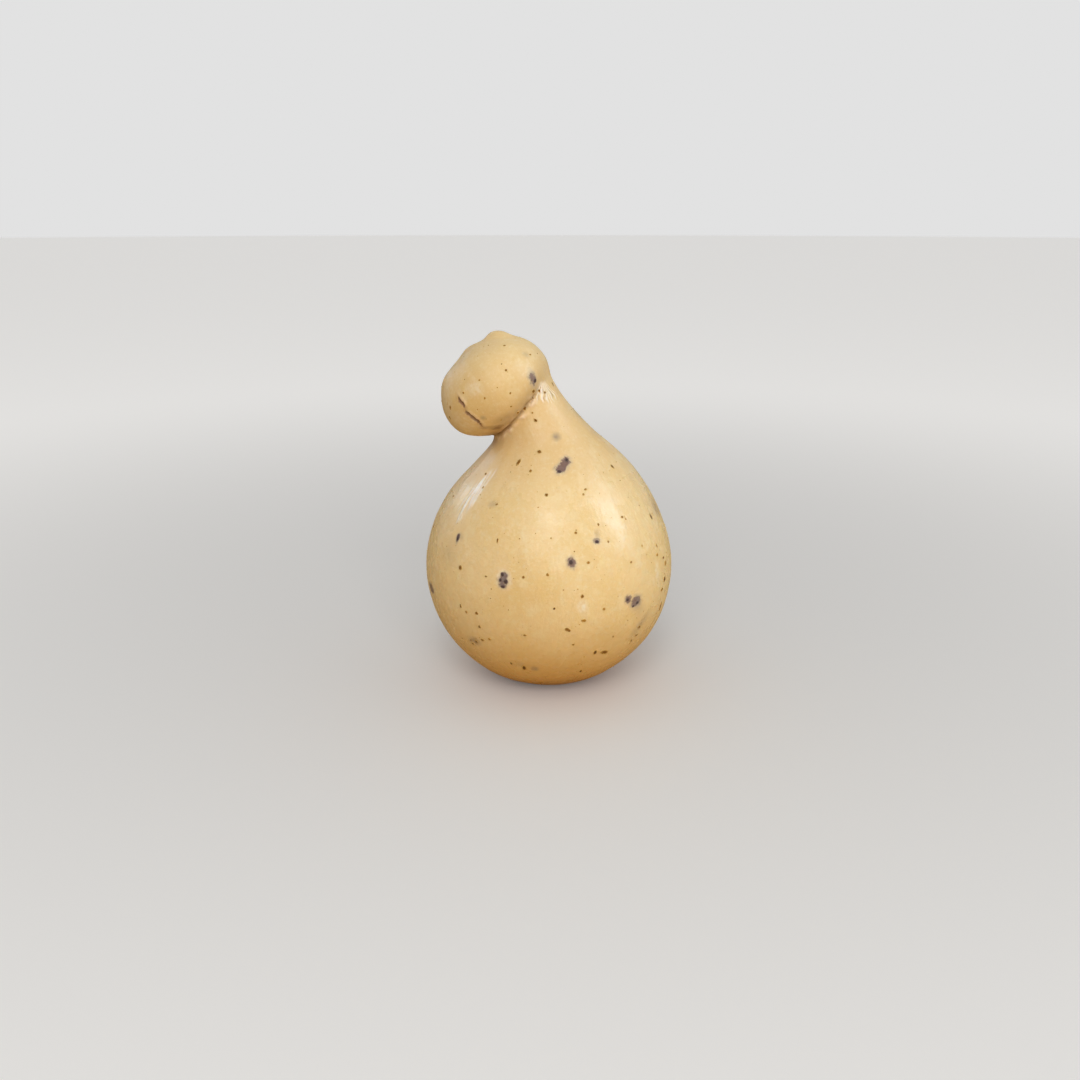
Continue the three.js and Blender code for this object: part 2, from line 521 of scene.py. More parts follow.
seam_gap = np.full(len(skin_points), np.inf)
seam_side = np.zeros(len(skin_points))
seam_depth = np.zeros(len(skin_points))
for start, end, depth_a, depth_b in zip(seam_path, seam_path[1:], SEAM_DEPTHS, SEAM_DEPTHS[1:]):
    run = end - start
    share = np.clip((skin_points - start) @ run / (run @ run), 0, 1)
    away = skin_points - (start + share[:, None] * run)
    gap = np.linalg.norm(away, axis=1)
    upper = np.cross(skin_normals, run / np.linalg.norm(run))
    nearer = gap < seam_gap
    seam_gap = np.where(nearer, gap, seam_gap)
    seam_side = np.where(nearer, (away * upper).sum(1), seam_side)
    seam_depth = np.where(nearer, depth_a + share * (depth_b - depth_a), seam_depth)
ragged_gap = np.abs(seam_gap + SEAM_RAGGED * lumps(skin_points, SEAM_RAGGED_SIZE))
seam_width = SEAM_WIDTH * (SEAM_NARROWEST + (1 - SEAM_NARROWEST) * seam_depth)
seam = bump_of(ragged_gap, seam_width) * seam_depth
lip = bump_of(seam_side - LIP_PLACE, LIP_WIDTH) * bump_of(seam_gap, LIP_REACH) * seam_depth
relief += LIP_HEIGHT * lip - SEAM_DEPTH * seam

skin_points = skin_points + relief[:, None] * skin_normals
move_points(skin_mesh, skin_points)
skin_mesh.polygons.foreach_set("use_smooth", np.ones(len(skin_mesh.polygons), bool))
skin = new_object("caciocavallo", skin_mesh)
skin_now = skin_tree()
skin_normals = normals_of(skin_mesh)

# Shavings drawn into the skin: each lobe by the distance of the skin's points from it.
FAR_OFF = 5.0

shaving_edge = np.full(len(skin_points), FAR_OFF)
shaving_grey = np.zeros(len(skin_points))
shaving_strength = np.zeros(len(skin_points))
for *lobe, grey, strength in shavings:
    distance = lobe_distance(skin_points, *lobe)
    nearer = distance < shaving_edge
    shaving_edge[nearer] = distance[nearer]
    shaving_grey[nearer] = grey
    shaving_strength[nearer] = strength

# Blooms: soft grey clouds where a shaving lies deeper. Pixel x and y, half width and height in mm, turn and
# strength.
BLOOMS = {
    "front": (597.2, 533.6, 2.0, 2.6, 0, 0.40),
    "throat": (556.3, 436.8, 2.6, 2.7, 0, 1.0),
    "left": (461.8, 537.0, 1.6, 2.4, 15, 0.32),
    "right_rim": (655.6, 507.0, 9.0, 7.5, 0, 0.62),
    "neck_rim": (578.0, 414.0, 4.0, 6.0, 0, 0.45),
    "foot_left": (474.5, 641.0, 4.6, 3.4, 10, 0.85),
    "foot_right": (640.0, 625.0, 3.4, 11.0, -38, 0.50),
    "foot_front": (534.7, 668.8, 2.4, 3.0, 0, 0.75),
    "foot_middle": (519.5, 664.4, 5.0, 3.2, 0, 0.30),
    # left_flank: a broad faint grey on the left side, painted shade.
    "left_flank": (449.0, 553.0, 8.0, 9.0, 0, 0.16),
    "left_shoulder": (492.6, 504.4, 3.4, 2.6, 0, 0.40),
    "seam": (483.0, 418.0, 1.9, 1.8, 0, 0.60),
    "head_right": (526.0, 354.5, 2.6, 2.4, 0, 0.32),
    "flank": (639.0, 608.0, 5.0, 8.0, 25, 0.28),
    "shaving": (566.0, 465.0, 4.5, 4.5, 0, 0.16),
}
BLOOM_EDGE = (0.0, 1.2)

bloom = strongest_of(skin_points, BLOOMS, *BLOOM_EDGE)

# Scuffs: pale dry patches where the wax has rubbed off. The pale spot on the head is a painted highlight,
# the pale patch on its lower left is painted light from below, and the patch by the pinch is partly a
# painted highlight. Pixel x and y, half width and height in mm, turn and strength.
SCUFFS_AND_HIGHLIGHTS = {
    "front": (582.0, 606.5, 2.3, 3.0, 10, 0.95),
    "round_shaving": (503.8, 579.8, 3.9, 5.0, 0, 0.80),
    "pinch": (544.0, 390.5, 4.5, 4.5, 0, 0.55),
    "right_flank": (657.0, 570.0, 1.6, 5.0, -5, 0.45),
    "head": (474.5, 387.5, 4.6, 3.6, -20, 0.36),
    "head_left": (446.0, 402.0, 6.0, 11.0, 0, 0.28),
    "chin": (461.0, 424.0, 10.0, 7.0, 20, 0.24),
}
SCUFF_AND_HIGHLIGHT_EDGE = (0.4, 1.3)

scuff = strongest_of(skin_points, SCUFFS_AND_HIGHLIGHTS, *SCUFF_AND_HIGHLIGHT_EDGE)

# Stains: brown where the head lies on the neck and the skin under it is pressed and damp, darkest at the
# notch. This brown is partly painted shade, standing for the shade under the overhanging head. Pixel x and
# y, half width and height in mm, turn and strength.
STAINS_AND_SHADE = {
    "notch": (498.0, 427.5, 4.5, 3.0, 20, 1.0),
    "under_head": (505.0, 419.0, 6.5, 3.8, 35, 0.45),
    "seam_end": (490.0, 427.5, 5.0, 1.6, 10, 0.55),
    "nub": (497.5, 333.5, 4.0, 2.4, 0, 0.08),
}
STAIN_AND_SHADE_EDGE = (0.3, 1.4)
STAIN_AND_SHADE_REACH = 0.005
HEAD_SIDE = (0.0004, 0.0016)
UNDERSIDE_STAIN_AND_SHADE = 0.60
UNDERSIDE_NOTCH = 0.35
NOTCH_STAIN_AND_SHADE = 0.6

# Brown by the fold under the head, darkest at the notch: partly stain, partly painted shade under the head.
by_fold = bump_of(fold_gap, STAIN_AND_SHADE_REACH)
under_head = by_fold * (1 - ease(*HEAD_SIDE, head_gap)) * sharpness
under_head *= UNDERSIDE_STAIN_AND_SHADE + UNDERSIDE_NOTCH * near_notch
stain = np.maximum(under_head, NOTCH_STAIN_AND_SHADE * by_fold * near_notch)
stain = np.maximum(stain, strongest_of(skin_points, STAINS_AND_SHADE, *STAIN_AND_SHADE_EDGE))

# The skin's values: how much of each mark there is at each of its points, for the rind's finish to read.
CREASE_FAINTEST = 0.35
RUST_REACH = 0.0015
RUST_FAINTEST = 0.45
SEAM_LIP = 0.7
HEAD_FADE = (-0.012, 0.014)
HEAD_RISE = (0.110, 0.130)
STREAK_CREST = (-0.30, 0.20)


def write_values(mesh, name, values):
    """Keeps a number or a vector for each point of a mesh, for its material to read."""
    if values.ndim == 1:
        mesh.attributes.new(name, "FLOAT", "POINT").data.foreach_set("value", values.astype(np.float32))
    else:
        held = mesh.attributes.new(name, "FLOAT_VECTOR", "POINT")
        held.data.foreach_set("vector", values.astype(np.float32).ravel())


skin_values = {
    "grain": grain,
    # The crease's brown is partly the skin's stain in the fold and partly painted shade, strongest at the
    # notch.
    "crease": crease * (CREASE_FAINTEST + (1 - CREASE_FAINTEST) * near_notch),
    "seam": seam,
    "stain": stain,
    "rust": bump_of(ragged_gap, RUST_REACH) * (RUST_FAINTEST + (1 - RUST_FAINTEST) * seam_depth),
    "lip": np.clip(fold_lip + SEAM_LIP * lip, 0, 1),
    "head": ease(*HEAD_FADE, past_fold) * ease(*HEAD_RISE, skin_points[:, 2]),
    "bloom": bloom,
    "streaked": streaked * ease(*STREAK_CREST, ridges),
    "wrinkle": wrinkle,
    "shaving_edge": shaving_edge,
    "shaving_grey": shaving_grey,
    "shaving_strength": shaving_strength,
    "scuff": scuff,
}
for name, values in skin_values.items():
    write_values(skin_mesh, name, values)

# Rind finish: cream to honey yellow, a little see-through, satin from wax and duller on the neck and the
# head, where it is handled; the neck and head are also painted darker, as painted shade. Amber towards the
# foot, partly painted warm light from below, and darkest at the very bottom, as painted shade. Brown in the
# fold, partly painted shade, and in the seam, with fine streaks along the way the curd was drawn.
CREAM = (0.810, 0.580, 0.272, 1)
HONEY = (0.748, 0.510, 0.192, 1)
PALE = (0.85, 0.680, 0.388, 1)
AMBER = (0.70, 0.372, 0.056, 1)
FOOT_SHADE_BROWN = (0.43, 0.190, 0.024, 1)
STAIN_AND_SHADE_BROWN = (0.25, 0.120, 0.035, 1)
FOLD_BROWN = (0.27, 0.130, 0.040, 1)
LIP_PINK = (0.83, 0.605, 0.395, 1)
SCUFF_AND_HIGHLIGHT_WHITE = (0.88, 0.770, 0.600, 1)
STREAK_HIGHLIGHT_WHITE = (0.95, 0.880, 0.800, 1)
SEAM_BROWN = (0.15, 0.045, 0.008, 1)
SEAM_RUST = (0.46, 0.200, 0.070, 1)
TRUFFLE_BROWN = (0.190, 0.098, 0.070, 1)
TRUFFLE_GREY = (0.240, 0.195, 0.180, 1)
TRUFFLE_VEIL = (0.52, 0.400, 0.270, 1)
BLOOM_GREY = (0.235, 0.163, 0.122, 1)
HEAD_SHADE_TINT = (0.925, 0.897, 0.850, 1)
NECK_SHADE_TINT = (0.900, 0.845, 0.780, 1)
HANDLED_AND_SHADED_HEIGHTS = (0.098, 0.128)
AMBER_HEIGHTS = (0.058, -0.003)
HEAD_LESS_CREAM = 0.25

# Clouds of colour: scale, detail and roughness. Some lie anywhere in the skin, and some along its grain.
SKIN_CLOUDS = {
    "broad": (34.0, 3.0, 0.5),
    "medium": (130.0, 3.0, 0.5),
    "fine": (520.0, 3.0, 0.6),
    "crumbs": (900.0, 3.0, 0.65),
}
GRAIN_CLOUDS = {
    "streaks": (330.0, 3.0, 0.6),
    "wide_streaks": (95.0, 2.0, 0.5),
    "fine_streaks": (1100.0, 3.0, 0.65),
}

# Steps: the value where a share of colour starts and where it is full, with the share at both.
CREAM_STEP = (0.25, 0.62, 0.35, 1.0)
AMBER_STEP = (0.20, 0.80, 0.75, 1.0)
FOOT_SHADE_STEP = (0.016, 0.000, 0.0, 0.9)
SLIT_STEP = (0.08, 0.60, 0.0, 0.95)
CREST_STEP = (-0.1, 0.6, 0.0, 0.9)
FURROW_STEP = (-0.3, -1.0, 0.0, 0.6)
CRUMBLED_STEP = (0.20, 0.80, -0.15, 0.15)
RAGGED_STEP = (0.25, 0.75, -0.22, 0.22)
HAZE_STEP = (1.80, 0.70, 0.0, 0.7)
FLAKE_STEP = (1.15, 0.65)
GREY_STEP = (0.3, 0.6)

# Mottle: its cloud, the step in that, and its colour. A mark has its name among the skin's values as well,
# and the lip's share is even.
MOTTLES = (
    ("medium", (0.48, 0.72, 0.0, 0.45), PALE),
    ("wide_streaks", (0.52, 0.80, 0.0, 0.18), PALE),
    ("streaks", (0.55, 0.80, 0.0, 0.25), HONEY),
    ("fine", (0.54, 0.72, 0.0, 0.50), PALE),
    ("fine", (0.46, 0.28, 0.0, 0.45), HONEY),
    ("crumbs", (0.52, 0.70, 0.0, 0.40), PALE),
)
PRESSED_MARKS = (
    ("stain", "fine", (0.25, 0.70, 0.60, 1.0), STAIN_AND_SHADE_BROWN),
    ("lip", "fine", (0.25, 0.70, 0.85, 0.85), LIP_PINK),
    ("crease", "medium", (0.25, 0.70, 0.45, 0.95), FOLD_BROWN),
    ("rust", "crumbs", (0.30, 0.65, 0.25, 0.85), SEAM_RUST),
    ("seam", "fine", (0.30, 0.60, 0.75, 1.0), SEAM_BROWN),
)
SURFACE_MARKS = (
    # Scuffs: some are painted highlights, and one is painted light from below.
    ("scuff", "fine", (0.30, 0.62, 0.25, 1.0), SCUFF_AND_HIGHLIGHT_WHITE),
    # Streaks: their white crests are partly a painted highlight.
    ("streaked", "fine_streaks", (0.38, 0.56, 0.35, 1.0), STREAK_HIGHLIGHT_WHITE),
    # Grey clouds: the one on the left flank is painted shade.
    ("bloom", "fine", (0.25, 0.70, 0.60, 1.0), BLOOM_GREY),
)

# Gloss: the roughness of the wax, how much duller each mark is, how far it stands out, and the rest of the
# surface, which is the same all over.
RIND_ROUGHNESS = (0.22, 0.36)
DULLER = {"scuff": 0.20, "flake": 0.20, "seam": 0.35, "handled": 0.14}
RAISED = {"film": 0.80, "flake": -0.25, "streaked": 1.2}
RIND_FINENESS = 700.0
RIND_BUMP = {"Strength": 0.38, "Distance": 0.0004}
RIND_SURFACE = {
    "IOR": 1.45,
    "Specular IOR Level": 0.7,
    "Subsurface Weight": 0.18,
    "Subsurface Radius": (1.0, 0.6, 0.25),
    "Subsurface Scale": 0.003,
}
FILM_PATCHES = 0.15
FILM_DULL = (0.35, 0.70)


def add_node(tree, kind, inputs, **settings):
    """Adds a node with its settings, and gives its inputs values or links from other nodes' outputs."""
    node = tree.nodes.new(kind)
    for name, value in settings.items():
        setattr(node, name, value)
    for key, value in inputs.items():
        if isinstance(value, bpy.types.NodeSocket):
            tree.links.new(value, node.inputs[key])
        else:
            node.inputs[key].default_value = value
    return node


# Shorthands for the nodes that recur. Each stands in the tree of the first socket that it is given.
def mixed(share, under, over, blend="MIX"):
    inputs = {0: share, 6: under, 7: over}
    return add_node(share.id_data, "ShaderNodeMix", inputs, data_type="RGBA", blend_type=blend).outputs[2]


def stepped(value, low, high, start=0.0, end=1.0):
    inputs = {0: value, 1: low, 2: high, 3: start, 4: end}
    return add_node(value.id_data, "ShaderNodeMapRange", inputs, interpolation_type="SMOOTHSTEP").outputs[0]


def sums(operation, first, second):
    return add_node(first.id_data, "ShaderNodeMath", {0: first, 1: second}, operation=operation).outputs[0]


def cloud(place, scale, detail=2.0, roughness=0.5):
    inputs = {"Vector": place, "Scale": scale, "Detail": detail, "Roughness": roughness}
    return add_node(place.id_data, "ShaderNodeTexNoise", inputs).outputs[0]


def held_value(tree, name, output="Fac"):
    return add_node(tree, "ShaderNodeAttribute", {}, attribute_name=name).outputs[output]


def drawn_over(colour, marks, clouds, shares):
    """A colour with marks mixed in, one over the other. Each is broken up by its cloud, and shares keeps how
    much of it shows."""
    for name, texture, step, over in marks:
        share = shares[name] if name in shares else held_value(colour.id_data, name)
        shares[name] = sums("MULTIPLY", share, stepped(clouds[texture], *step))
        colour = mixed(shares[name], colour, over)
    return colour


def new_group(name, kind, inputs, outputs):
    """A node group with its named sockets."""
    made = bpy.data.node_groups.new(name, kind)
    for way, sockets in (("INPUT", inputs), ("OUTPUT", outputs)):
        for socket, held in sockets.items():
            made.interface.new_socket(socket, in_out=way, socket_type="NodeSocket" + held)
    return made


def new_finish(name):
    """A material, with its node tree and its surface."""
    made = bpy.data.materials.new(name)
    made.use_nodes = True
    return made, made.node_tree, made.node_tree.nodes["Principled BSDF"]


# The film of wax, which lies over the rind and the specks alike: its small unevenness and its dull spots.
film_inputs = {"Place": "Vector", "Fineness": "Float"}
film_outputs = {"Height": "Float", "Dullness": "Float"}
wax_film = new_group("wax_film", "ShaderNodeTree", film_inputs, film_outputs)
film_in = add_node(wax_film, "NodeGroupInput", {})
film_out = add_node(wax_film, "NodeGroupOutput", {})
pores = cloud(film_in.outputs["Place"], film_in.outputs["Fineness"], 4.0, 0.6)
wide_scale = sums("MULTIPLY", film_in.outputs["Fineness"], FILM_PATCHES)
patches = cloud(film_in.outputs["Place"], wide_scale, 3.0)
wax_film.links.new(pores, film_out.inputs["Height"])
wax_film.links.new(stepped(patches, *FILM_DULL), film_out.inputs["Dullness"])

rind, tree, surface = new_finish("cheese_rind")
place = add_node(tree, "ShaderNodeTexCoord", {}).outputs["Object"]
height_up = add_node(tree, "ShaderNodeSeparateXYZ", {0: place}).outputs["Z"]
clouds = {name: cloud(place, *look) for name, look in SKIN_CLOUDS.items()}
grain_place = held_value(tree, "grain", "Vector")
for name, look in GRAIN_CLOUDS.items():
    clouds[name] = cloud(grain_place, *look)

head_part = held_value(tree, "head")
cream_share = stepped(clouds["broad"], *CREAM_STEP)
cream_share = sums("SUBTRACT", cream_share, sums("MULTIPLY", head_part, HEAD_LESS_CREAM))
colour = mixed(cream_share, HONEY, CREAM)
for texture, step, over in MOTTLES:
    colour = mixed(stepped(clouds[texture], *step), colour, over)
# Above the shoulder the neck and head are multiplied darker: painted shade. The same share makes the wax
# there duller.
handled = stepped(height_up, *HANDLED_AND_SHADED_HEIGHTS)
colour = mixed(handled, colour, mixed(head_part, NECK_SHADE_TINT, HEAD_SHADE_TINT), "MULTIPLY")
# Amber towards the foot: partly the rind's own deeper tone, partly painted warm light bounced up from below.
amber_and_bounce_share = stepped(height_up, *AMBER_HEIGHTS)
amber_and_bounce_share = sums("MULTIPLY", amber_and_bounce_share, stepped(clouds["medium"], *AMBER_STEP))
colour = mixed(amber_and_bounce_share, colour, AMBER)
# Darkest brown right at the bottom: painted shade where the cheese meets the floor.
colour = mixed(stepped(height_up, *FOOT_SHADE_STEP), colour, FOOT_SHADE_BROWN)

shares = {"handled": handled, "seam": stepped(held_value(tree, "seam"), *SLIT_STEP)}
# The stain and crease browns drawn here are partly painted shade under the head and in the fold.
colour = drawn_over(colour, PRESSED_MARKS, clouds, shares)
wrinkle_value = held_value(tree, "wrinkle")
# Wrinkle crests painted pale and furrows brown: partly own tones, partly painted highlight and painted
# shade.
colour = mixed(stepped(wrinkle_value, *CREST_STEP), colour, SCUFF_AND_HIGHLIGHT_WHITE)
colour = mixed(stepped(wrinkle_value, *FURROW_STEP), colour, STAIN_AND_SHADE_BROWN)
colour = drawn_over(colour, SURFACE_MARKS, clouds, shares)

edge = sums("ADD", held_value(tree, "shaving_edge"), stepped(clouds["crumbs"], *CRUMBLED_STEP))
edge = sums("ADD", edge, stepped(clouds["fine"], *RAGGED_STEP))
strength = held_value(tree, "shaving_strength")
haze = sums("MULTIPLY", stepped(edge, *HAZE_STEP), strength)
colour = mixed(haze, colour, TRUFFLE_VEIL)
grey_share = stepped(clouds["crumbs"], *GREY_STEP)
grey_share = sums("MULTIPLY", held_value(tree, "shaving_grey"), grey_share)
shares["flake"] = sums("MULTIPLY", stepped(edge, *FLAKE_STEP), strength)
colour = mixed(shares["flake"], colour, mixed(grey_share, TRUFFLE_BROWN, TRUFFLE_GREY))
tree.links.new(colour, surface.inputs["Base Color"])

film = add_node(tree, "ShaderNodeGroup", {"Place": place, "Fineness": RIND_FINENESS}, node_tree=wax_film)
roughness = stepped(film.outputs["Dullness"], 0.0, 1.0, *RIND_ROUGHNESS)
for name, duller in DULLER.items():
    roughness = sums("ADD", roughness, sums("MULTIPLY", shares[name], duller))
tree.links.new(roughness, surface.inputs["Roughness"])

shares["film"] = film.outputs["Height"]
height = clouds["streaks"]
for name, rise in RAISED.items():
    height = sums("ADD", height, sums("MULTIPLY", shares[name], rise))
bump = add_node(tree, "ShaderNodeBump", {**RIND_BUMP, "Height": height}).outputs["Normal"]
tree.links.new(bump, surface.inputs["Normal"])
for name, value in RIND_SURFACE.items():
    surface.inputs[name].default_value = value

skin_mesh.materials.clear()
skin_mesh.materials.append(rind)
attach(skin, "root")
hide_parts("cheese")

# Truffle specks: crumbs of truffle and bits of browned curd, sunk in the skin so that only a low dome shows.
# The larger ones stand where the photograph shows them, and fine ones are strewn over all sides. Speck:
# pixel x and y, half width and height in mm, turn in degrees, and tone from black to ochre.
SPECKS = {
    "head": (
        (506.0, 370.2, 0.71, 0.71, 0, 0.4),
        (504.4, 345.6, 0.81, 0.67, 0, 0.5),
        (479.4, 380.0, 0.65, 0.53, 0, 0.65),
        (510.3, 393.2, 0.59, 0.65, 0, 0.65),
        (511.2, 406.4, 0.71, 0.59, 0, 0.65),
        (484.7, 398.2, 0.59, 0.65, 0, 0.75),
        (450.4, 407.6, 0.81, 1.22, 0, 0.4),
        (450.2, 418.0, 0.54, 1.36, -20, 0.3),
        (463.4, 392.6, 0.59, 0.59, 0, 0.65),
        (530.3, 354.6, 0.67, 0.54, 0, 0.6),
        (535.0, 380.6, 1.09, 1.09, 0, 0.1),
    ),
    "fold": (
        (533.4, 391.2, 1.22, 1.09, 0, 0.3),
        (539.4, 390.6, 1.22, 0.94, 0, 0.3),
        (544.7, 392.6, 0.67, 0.81, 0, 0.25),
        (524.8, 408.2, 1.2, 1.5, -20, 0.3),
        (532.8, 398.0, 0.8, 0.8, 0, 0.35),
        (517.8, 412.6, 0.7, 0.9, 0, 0.45),
        (552.6, 384.2, 0.67, 1.49, 0, 0.2),
        (532.4, 412.8, 0.54, 0.54, 0, 0.6),
    ),
    "throat": (
        (518.6, 462.4, 1.05, 2.3, 12, 0.35),
        (539.4, 451.7, 1.22, 1.09, 0, 0.3),
        (535.6, 420.4, 1.0, 0.89, 0, 0.22),
        (530.6, 471.0, 0.81, 0.94, 0, 0.45),
        (612.2, 466.6, 0.95, 1.5, -15, 0.2),
        (485.8, 474.0, 0.81, 0.81, 0, 0.25),
        (483.2, 487.4, 0.67, 0.67, 0, 0.25),
        (453.3, 496.3, 1.09, 0.67, -30, 0.4),
        (496.8, 504.3, 0.81, 0.54, -30, 0.4),
    ),
    "belly": (
        (546.4, 495.0, 0.94, 0.94, 0, 0.3),
        (585.6, 489.4, 0.81, 0.67, 0, 0.6),
        (583.4, 494.4, 0.67, 0.67, 0, 0.65),
        (622.0, 517.0, 0.94, 0.67, 0, 0.35),
        (625.6, 519.2, 0.54, 0.67, 0, 0.5),
        (650.7, 516.6, 1.0, 2.0, -12, 0.1),
        (575.8, 532.8, 0.8, 0.75, 0, 0.45),
        (598.4, 524.4, 0.54, 0.81, 0, 0.4),
        (608.4, 541.7, 0.67, 0.67, 0, 0.5),
        (588.4, 562.6, 0.94, 0.81, 0, 0.6),
        (497.6, 540.4, 0.54, 1.49, 0, 0.4),
        (460.5, 567.6, 1.36, 1.36, 0, 0.35),
        (486.0, 576.4, 0.81, 0.54, 0, 0.35),
        (523.4, 577.0, 0.81, 0.81, 0, 0.45),
        (547.8, 574.8, 0.81, 0.81, 0, 0.65),
        (631.0, 562.2, 0.81, 0.67, 0, 0.45),
        (656.6, 545.8, 0.81, 1.22, -20, 0.6),
        (433.6, 526.8, 0.67, 0.81, 0, 0.2),
        (664.3, 579.0, 1.7, 1.55, 0, 0.1),
        (661.8, 589.4, 1.8, 1.05, 0, 0.4),
        (663.2, 557.5, 1.3, 0.75, 0, 0.2),
        (665.2, 563.0, 1.5, 1.5, 0, 0.7),
        (657.0, 554.8, 1.2, 0.95, 0, 0.75),
        (642.0, 545.8, 0.6, 0.75, 0, 0.85),
    ),
    "foot": (
        (582.3, 596.3, 0.94, 1.09, 0, 0.4),
        (583.9, 620.4, 1.36, 1.09, 0, 0.75),
        (567.2, 629.4, 1.49, 1.09, 25, 0.4),
        (554.4, 608.4, 0.67, 0.81, 0, 0.05),
        (595.2, 652.2, 1.05, 1.7, 0, 0.12),
        (604.2, 652.0, 2.6, 1.5, 20, 0.35),
        (524.3, 667.8, 1.15, 2.2, 0, 0.05),
        (511.3, 663.2, 0.7, 1.2, 0, 0.0),
        (580.7, 671.0, 0.65, 1.4, 0, 0.1),
        (569.2, 630.4, 0.9, 1.0, 0, 0.45),
        (573.4, 644.5, 0.81, 0.81, 0, 0.5),
        (525.0, 635.2, 0.94, 0.67, 0, 0.55),
        (460.7, 606.0, 0.67, 1.22, 0, 0.3),
        (466.4, 611.8, 0.81, 0.94, 0, 0.5),
        (476.6, 613.2, 1.09, 1.09, 0, 0.4),
        (479.6, 626.8, 0.94, 0.94, 0, 0.3),
        (482.4, 639.8, 1.22, 0.94, 0, 0.5),
        (541.4, 682.2, 1.4, 0.9, 0, 0.3),
        (660.4, 606.0, 1.25, 2.9, 0, 0.2),
        (639.2, 626.8, 1.2, 0.9, 0, 0.25),
        (636.2, 635.0, 1.2, 0.8, 0, 0.25),
        (476.6, 641.4, 0.95, 0.95, 0, 0.12),
        (473.2, 643.6, 1.1, 0.7, 0, 0.18),
        (471.0, 640.2, 0.6, 0.7, 0, 0.2),
        (489.5, 639.0, 1.0, 0.9, 0, 0.85),
        (631.2, 640.3, 0.81, 1.09, 0, 0.3),
        (613.0, 636.6, 0.67, 0.67, 0, 0.5),
        (604.0, 609.0, 0.81, 0.94, 0, 0.75),
    ),
    "shaving_cores": (
        (502.4, 574.4, 0.94, 1.09, 0, 0.08),
        (505.8, 581.6, 1.09, 1.22, 0, 0.05),
        (500.4, 580.0, 0.67, 0.94, 0, 0.08),
        (502.8, 586.6, 1.22, 0.81, 0, 0.03),
        (566.6, 460.2, 1.09, 1.22, 0, 0.12),
        (559.4, 471.4, 1.22, 0.94, 0, 0.1),
        (571.2, 562.2, 1.09, 1.22, 0, 0.05),
        (597.0, 541.8, 1.15, 0.85, 10, 0.08),
        (627.6, 599.6, 0.94, 0.81, 0, 0.1),
        (637.2, 602.6, 0.94, 0.94, 0, 0.05),
        (458.0, 537.8, 1.0, 1.7, 0, 0.05),
        (633.2, 606.2, 0.94, 0.67, 0, 0.1),
    ),
}
FINE_DENSITY = 9000.0
FINE_SMALLEST = 0.00014
FINE_LARGEST = 0.00042
FINE_LOWEST = 0.004
FINE_TONES = (0.35, 1.0)
SPECK_DEPTH = 0.00016
SPECK_BITES = 1500.0
SPECK_SEED = 4
SPECK_TONES = (
    (0.00, (0.055, 0.022, 0.010, 1)),
    (0.25, (0.130, 0.050, 0.010, 1)),
    (0.55, (0.270, 0.120, 0.020, 1)),
    (1.00, (0.480, 0.240, 0.040, 1)),
)
TONE_SCALE = 1800.0
TONE_STEP = (0.20, 0.80, -0.05, 0.25)
BURIAL_SCALE = 2400.0
BURIAL_STEP = (0.25, 0.75, -0.25, 0.25)
BURIED_STEP = (0.50, 0.95)
BURIED_GLOSS = 0.40
SPECK_VEIL = (0.72, 0.480, 0.180, 1)
SHAVING_VEIL = (0.190, 0.130, 0.108, 1)
SHAVING_CORE = (0.075, 0.050, 0.047, 1)
SHAVING_RIM = 1.1
SPECK_FINENESS = 1600.0
SPECK_ROUGHNESS = (0.70, 0.90)
SPECK_SPECULAR = 0.1
SPECK_BUMP = {"Strength": 0.4, "Distance": 0.0002}


